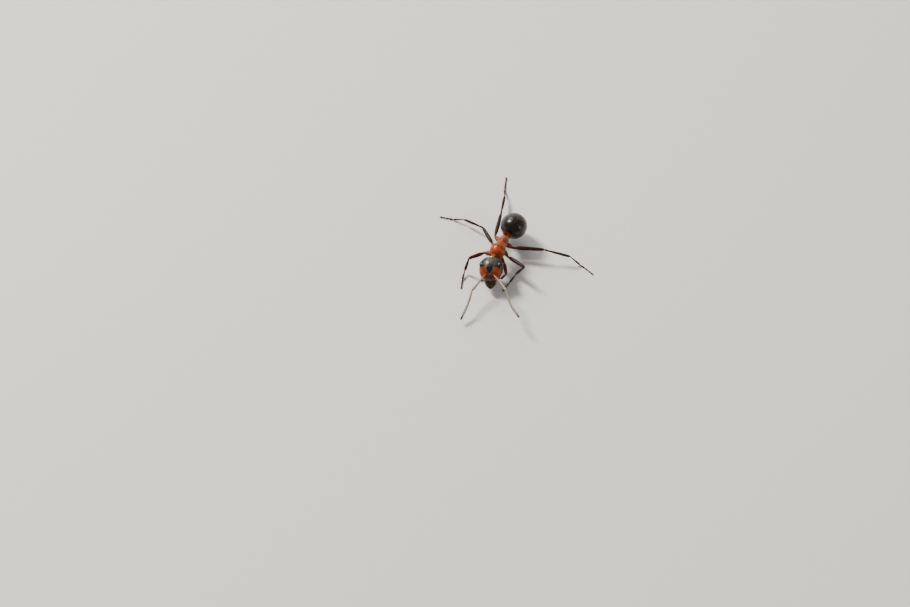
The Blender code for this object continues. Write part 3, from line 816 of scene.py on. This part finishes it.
waist = {"width": 0.94, "height": 0.94, "depth": 0.28, "sideCurve": 2.7, "lean": 6.0, "notch": 0.035,
         "stalk": ((0, -0.42, -0.05), (0, -0.16, -0.16), (0, 0.14, -0.18), (0, 0.50, -0.06)),
         "stalkPlaces": (0, .33, .66, 1), "stalkRadii": (.16, .17, .15, .13), "tone": 0.26,
         "down": (400, 0.050, 0.0028, 0.26, 0.1), "bristles": (30, 0.14, 0.0048, 0.85, 0.15)}


def buildWaist(rng):
    # an upright scale: its half width and half depth are tapered superellipses of the height
    look = waist
    t = -oneToMinusOne(100, 0.04)
    angle = evenRound(96)
    wide = look["width"] / 2 * roundEnd(t, look["sideCurve"]) * (0.84 + 0.16 * t)
    deep = look["depth"] / 2 * roundEnd(t, 2.0) * (1 - 0.45 * t)
    x = wide * np.cos(angle)
    y = deep * np.sin(angle) * (1 - 0.35 * np.cos(angle) ** 2)
    z = t * look["height"] / 2 - look["notch"] * bell(x, 0.09) * ramp(t, 0.80, 1.0)
    lean = np.radians(look["lean"])
    grid = np.stack([x, y * np.cos(lean) - z * np.sin(lean), z * np.cos(lean) + y * np.sin(lean)], -1)
    grid = placed(grid, body["waistPlace"])
    s = np.linspace(0, 1, 60)
    path = placed(smoothThrough(look["stalkPlaces"], look["stalk"], s), body["waistPlace"])
    stalk = tube(path, smoothThrough(look["stalkPlaces"], look["stalkRadii"], s), 40)
    shapes = [loft(grid, tone=look["tone"] + 0.14 * t + 0 * x, bloom=0.0),
              loft(stalk, tone=look["tone"], bloom=0.0)]
    makePiece("waistScale", joined(shapes), bodySurface, ["petiole"])
    edge = ramp(t, 0.1, 0.6) * (0.2 + np.abs(np.cos(angle)))
    coat = coatOf(grid, 0.1, [(1.0, *look["down"]), (edge, *look["bristles"])], rng)
    makePiece("waistDown", coat, amberHair)
    print("waist done")


# gaster: five rings that telescope, each rear edge lapping the next
gaster = {
    "length": 2.60, "width": 2.20, "height": 2.14, "frontCurve": 2.35, "rearCurve": 1.85,
    "edges": (0.10, -0.34, -0.66, -0.86),  # along the half length, front +1 to tip -1
    "lap": 0.026, "plates": 0.014, "rimWidth": 0.055, "sideSeam": -0.38, "stepDown": (-0.016, 0.012),
    # tones, then grey down with painted sheen on top and in a band before each edge
    "tone": 1.05, "rimTone": 0.20, "tipTone": 0.25, "topDownAndSheen": 0.26, "rimSheen": 0.12,
    "down": (7000, 0.080, 0.0024, 0.14, 0.08), "bristles": (420, 0.125, 0.0052, 0.70, 0.20),
}


def buildGaster(rng):
    # an egg; the skin swells towards each rear edge and steps down behind it
    look = gaster
    rows, around = 300, 240
    t = oneToMinusOne(rows)
    angle = evenRound(around)
    back, front = np.clip(-t, 0, 1), np.clip(t, 0, 1)
    end = np.where(t > 0, roundEnd(t, look["frontCurve"]), roundEnd(t, look["rearCurve"]))
    x = look["width"] / 2 * end * (1 - 0.06 * back) * np.cos(angle)
    z = look["height"] / 2 * end * np.sin(angle) - 0.10 * back ** 2 + 0.06 * front ** 2
    y = -t * look["length"] / 2 + 0 * x
    grid = np.stack([x, y, z], -1)
    normals = gridNormals(grid)
    top = ramp(z, look["sideSeam"] - 0.02, look["sideSeam"] + 0.02)
    move = look["plates"] * top
    rim, behind = np.zeros_like(x), np.zeros_like(x)
    for begin, edge in zip((1.0, *look["edges"]), (*look["edges"], -1.0)):
        bow = edge + 0.05 * (1 - top) + 0.015 * np.cos(2 * angle)
        within = np.clip((begin - t) / (begin - edge), 0, 1) * (t > bow) * (t <= begin + 0.05)
        move += look["lap"] * within ** 2.2
        if edge > -1:  # the last ring has no rear edge
            past = (t - bow) * look["length"] / 2
            rim += ramp(look["rimWidth"] - past, 0, 0.03) * (past > 0)
            behind += bell(past + 0.045, 0.040)
            move += raised(look, ("stepDown", past + 0.014, 1))
    grid = grid + normals * (move * roundEnd(t, 2.0) ** 0.5)[..., None]

    # black with paler edges and tip; grey down with painted sheen on top and in a band before each
    # edge, none on the front face, and a painted shade line just behind each edge where it is taken away
    tone = look["tone"] - look["rimTone"] * rim - look["tipTone"] * ramp(-t, 0.95, 0.985)
    bloom = (0.02 + look["topDownAndSheen"] * ramp(normals[..., 2], 0.0, 0.9)) * (1 - ramp(t, 0.30, 0.62))
    bloom = (bloom + look["rimSheen"] * rim) * (1 - 0.9 * behind)
    grid = placed(grid, body["gasterPlace"], gasterAxes)
    names = ["gaster_%d" % (i + 1) for i in range(5)]
    makePiece("gasterRings", loft(grid, tone=tone, bloom=bloom), gasterSurface, names)
    clear = ramp(0.9 - t, 0.0, 0.3)
    down = coatOf(grid, tone, [(clear, *look["down"])], rng)
    makePiece("gasterDown", down, greyHair)
    rear = (0.25 + 1.6 * rim) * clear + 2.0 * ramp(-t, 0.85, 0.97)
    bristles = coatOf(grid, tone, [(rear, *look["bristles"])], rng)
    makePiece("gasterBristles", bristles, goldHair)
    print("gaster done")


# legs
legLengths = {  # hip, thigh, shin, first foot joint, other foot joints
    "fore": (0.78, 1.95, 1.42, 0.80, 0.95),
    "mid": (0.62, 2.10, 1.80, 0.95, 1.15),
    "hind": (0.72, 2.75, 2.38, 1.15, 1.40),
}
legRoots = {"fore": (0.30, -0.80, -0.36), "mid": (0.36, 0.0, -0.50), "hind": (0.32, 0.66, -0.50)}
legPose = {  # turn and rise of those five parts
    "fore_left": ((100, -50), (26, 24), (46, -110), (-66, -8), (-56, -4)),
    "fore_right": ((-87, -25), (-27, 17), (-2, -78), (12, -13), (17, -5)),
    "mid_left": ((63, -20), (66, 20), (66, -110), (-9, -4), (-7, -4)),
    "mid_right": ((-132, -34), (-132, -7), (-96, -10), (-83, -19), (-74, -6)),
    "hind_left": ((114, -36), (115, 2), (110, -10), (102, -33), (77, -4)),
    "hind_right": ((-124, -15), (-168, -7), (-166, -11), (-161, -25), (-162, -5)),
}
legSizes = {  # largest radius of hip, thigh, shin and foot
    "fore": (0.235, 0.172, 0.118, 0.082),
    "mid": (0.205, 0.165, 0.112, 0.078),
    "hind": (0.215, 0.168, 0.116, 0.078),
}
leg = {
    # places along each part; radii at its root; shares of its largest radius; radii at its end
    "hip": ((0, .3, .7, 1), (), (.90, 1, .80, .46), ()),
    "ring": ((0, .4, .7, 1), (.078, .098, .094, .080), (), ()),
    "thigh": ((0, .05, .16, .42, .80, .95, 1), (.070, .105), (.90, 1, .82, .70), (.080,)),
    "shin": ((0, .05, .13, .42, .72, .94, 1), (.064, .086, .074), (.86, 1, .84), (.074,)),
    "foot": ((0, .20, .86, 1), (), (.46, .58, 1, .90), ()),
    "spur": ((0, .5, 1), (.022, .016, .006), (), ()),
    # tones and hairs of the hip, the ring, the thigh, the shin and the foot's five parts
    "tones": (0.26, 0.42, 0.66, 0.66, 0.52, 0.52, 0.52, 0.52, 0.52), "foreThighTone": 0.50,
    "hairs": (120, 20, 500, 700, 220, 80, 60, 45, 50),
    "hairSize": (0.060, 0.0030, 0.28, 0.10),  # length, thickness, stand and bend
    "clawTone": 0.6, "spurTone": 0.3,
    "ringReach": 0.17, "thighBow": 0.03,
    # the foot's centre line on the floor, its bend, its joints, and its parts' radii as shares
    "footHeight": 0.075, "footBend": 0.457, "footStops": (0.0, 0.46, 0.64, 0.77, 0.87, 1.0),
    "footShares": (1.0, .82, .76, .72, .80),
    "clawSize": 0.13, "clawRadius": 0.020, "spurLength": 0.20,
}


def legPoints(name):
    kind, side = name.split("_")
    x, y, z = legRoots[kind]
    points = [placed((x * dict(sides)[side], y, z), body["thoraxPlace"], thoraxAxes)]
    for length, (turn, rise) in zip(legLengths[kind], legPose[name]):
        points.append(points[-1] + length * heading(turn, rise))
    points[4][2] = leg["footHeight"] + 0.03
    points[5][2] = leg["footHeight"]
    return points


def legPart(part, start, end, largest, rows, around, bow=0.0):
    places, root, shares, tip = leg[part]
    radii = (*root, *(largest * share for share in shares), *tip)
    return limb(start, end, places, radii, rows, around, bow)


def footPath(points):  # where the foot's joints are, along its bent centre line
    look = leg
    path = smoothThrough((0, look["footBend"], 1), points, np.linspace(0, 1, 200))
    path[:, 2] = np.maximum(path[:, 2], look["footHeight"])
    reach = lengthAlong(path)
    return [np.array([np.interp(stop * reach[-1], reach, path[:, i]) for i in range(3)])
            for stop in look["footStops"]]


def claw(root, ahead, aside):  # a hook, its centre line a quarter turn downwards
    turn = 1.5 * np.linspace(0, 1, 12)[:, None]
    hook = np.sin(turn) * unit(ahead + 0.75 * aside) - (1 - np.cos(turn)) * np.array([0, 0, 0.55])
    return tube(root + leg["clawSize"] * hook, leg["clawRadius"] * (1 - 0.85 * turn[:, 0] / 1.5), 8)


def buildLeg(name, rng):
    look = leg
    kind = name.split("_")[0]
    hipR, thighR, shinR, footR = legSizes[kind]
    joint = legPoints(name)
    onward = unit(joint[2] - joint[1])
    ring = joint[1] + look["ringReach"] * onward
    grids = [legPart("hip", joint[0], joint[1] + 0.02 * onward, hipR, 50, 40),
             legPart("ring", joint[1] - 0.07 * onward, ring + 0.10 * onward, 0, 26, 24),
             legPart("thigh", ring, joint[2], thighR, 80, 32, look["thighBow"]),
             legPart("shin", joint[2], joint[3], shinR, 80, 28)]
    stops = footPath(joint[3:6])
    for a, b, share in zip(stops[:-1], stops[1:], look["footShares"]):
        grids.append(legPart("foot", a, b + 0.02 * unit(b - a), footR * share, 24, 16))
    # parts darken towards their ends; grey down with painted sheen on upward faces, much the strongest
    # on the rusty hip joint
    tones = list(look["tones"])
    if kind == "fore":
        tones[2] = look["foreThighTone"]
    shapes, hairs = [], []
    for grid, dark, number in zip(grids, tones, look["hairs"]):
        rusty = dark < 0.3
        up = gridNormals(grid)[..., 2]
        s = np.linspace(0, 1, len(grid))[:, None]
        tone = dark + 0.26 * s * rusty + 0.10 * s + 0 * up
        bloom = 0.01 + 0.05 * ramp(up, 0.0, 0.9) + (0.03 + 0.24 * ramp(up, 0.1, 0.9)) * rusty
        shapes.append(loft(grid, tone=tone, bloom=bloom))
        layers = [(1.0, number, *look["hairSize"])]
        hairs.append(coatOf(grid, tone, layers, rng, (len(hairs), len(grids))))
    ahead = unit(stops[-1] - stops[-2])
    aside = unit(np.cross(ahead, [0.0, 0.0, 1.0]))
    for side in (1, -1):
        grid = claw(stops[-1] - 0.02 * ahead, ahead, aside * side)
        shapes.append(loft(grid, tone=look["clawTone"], bloom=0.0))
    spur = joint[3] - 0.06 * unit(joint[3] - joint[2])
    spurTip = spur + look["spurLength"] * unit(unit(joint[4] - joint[3]) + np.array([0, 0, -0.5]))
    shapes.append(loft(legPart("spur", spur, spurTip, 0, 14, 8), tone=look["spurTone"], bloom=0.1))
    skin, down = joined(shapes), joined(hairs)
    for shape in (skin, down):  # what would dip into the floor lies flat on it
        shape["points"][:, 2] = np.maximum(shape["points"][:, 2], 0.0)
    title = "".join(word.title() for word in name.split("_"))
    nodes = ["%s_%s" % (part, name) for part in ("coxa", "femur", "tibia", "tarsus")]
    makePiece("leg" + title, skin, limbSurface, nodes)
    makePiece("legDown" + title, down, amberHair)


rng = np.random.default_rng(11)
buildHead(rng)
for name, side in sides:
    buildFeeler(name, side, rng)
print("feelers done")
buildTrunk(rng)
buildNeck()
buildWaist(rng)
buildGaster(rng)
for name in legPose:
    buildLeg(name, rng)
print("legs done")


# floor, lights and camera
stage = {
    "floorSize": 6.0, "floorColour": (0.80, 0.79, 0.77), "cloudsPerMm": 0.02, "cloudShade": 0.97,
    "skyColour": (1.0, 0.97, 0.93), "skyStrength": 0.28,
    # azimuth, elevation, distance, size, power and colour
    "lights": {
        "key": (-98, 42, 0.50, 0.130, 4.3, (1.0, 0.95, 0.87)),
        "fill": (92, 27, 0.60, 0.200, 0.6, (0.97, 0.98, 1.0)),
        "back": (-132, 30, 0.55, 0.260, 1.3, (1.0, 0.98, 0.95)),
    },
}
camera = {"azimuth": 11.5, "elevation": 53.0, "roll": 15.5, "distance": 1.0, "frameWidth": 0.07778,
          "sensor": 36.0, "aimRight": -3.56, "aimUp": -3.76}


def buildStage():
    look = stage
    half = look["floorSize"] / 2
    mesh = bpy.data.meshes.new("floor")
    corners = [(-half, -half, 0), (half, -half, 0), (half, half, 0), (-half, half, 0)]
    mesh.from_pydata(corners, [], [(0, 1, 2, 3)])
    material, shader, start, place = newMaterial("floorPaint")
    clouds = start.noise(place, look["cloudsPerMm"])
    shaded = tuple(channel * look["cloudShade"] for channel in look["floorColour"])
    colour = clouds.blend(look["floorColour"], shaded)
    connect(shader, Base_Color=colour, Roughness=0.6 + clouds * 0.1)
    mesh.materials.append(material)
    floor = bpy.data.objects.new("floor", mesh)
    bpy.context.scene.collection.objects.link(floor)
    middle = Vector(origin * mm)
    for name, (azimuth, elevation, distance, size, power, colour) in look["lights"].items():
        lamp = bpy.data.lights.new(name, "AREA")
        lamp.shape, lamp.size, lamp.energy, lamp.color = "DISK", size, power, colour
        thing = bpy.data.objects.new(name, lamp)
        away = Vector(heading(azimuth, elevation))
        thing.location = middle + away * distance
        thing.rotation_euler = away.to_track_quat("Z", "Y").to_euler()
        thing.visible_camera = False
        bpy.context.scene.collection.objects.link(thing)
    world = bpy.data.worlds.new("sky")
    world.use_nodes = True
    sky = world.node_tree.nodes["Background"]
    sky.inputs["Color"].default_value = (*look["skyColour"], 1.0)
    sky.inputs["Strength"].default_value = look["skyStrength"]
    bpy.context.scene.world = world


def buildCamera():
    # right and up are turned about the line of sight by the roll; the aim lies beside the ant
    look = camera
    azimuth, roll = np.radians((look["azimuth"], look["roll"]))
    toward = heading(look["azimuth"], look["elevation"])
    level = np.array([np.cos(azimuth), np.sin(azimuth), 0.0])
    high = np.cross(toward, level)
    c, s = np.cos(roll), np.sin(roll)
    right, up = level * c + high * s, high * c - level * s
    aim = (origin + look["aimRight"] * right + look["aimUp"] * up) * mm
    lens = bpy.data.cameras.new("camera")
    lens.sensor_width = look["sensor"]
    lens.lens = look["sensor"] * look["distance"] / look["frameWidth"]
    lens.clip_start, lens.clip_end = 0.01, 20.0
    thing = bpy.data.objects.new("camera", lens)
    turn = Matrix(np.column_stack([right, up, toward]).tolist()).to_4x4()
    thing.matrix_world = Matrix.Translation(aim + toward * look["distance"]) @ turn
    bpy.context.scene.collection.objects.link(thing)
    bpy.context.scene.camera = thing


buildStage()
buildCamera()
print("scene ready")
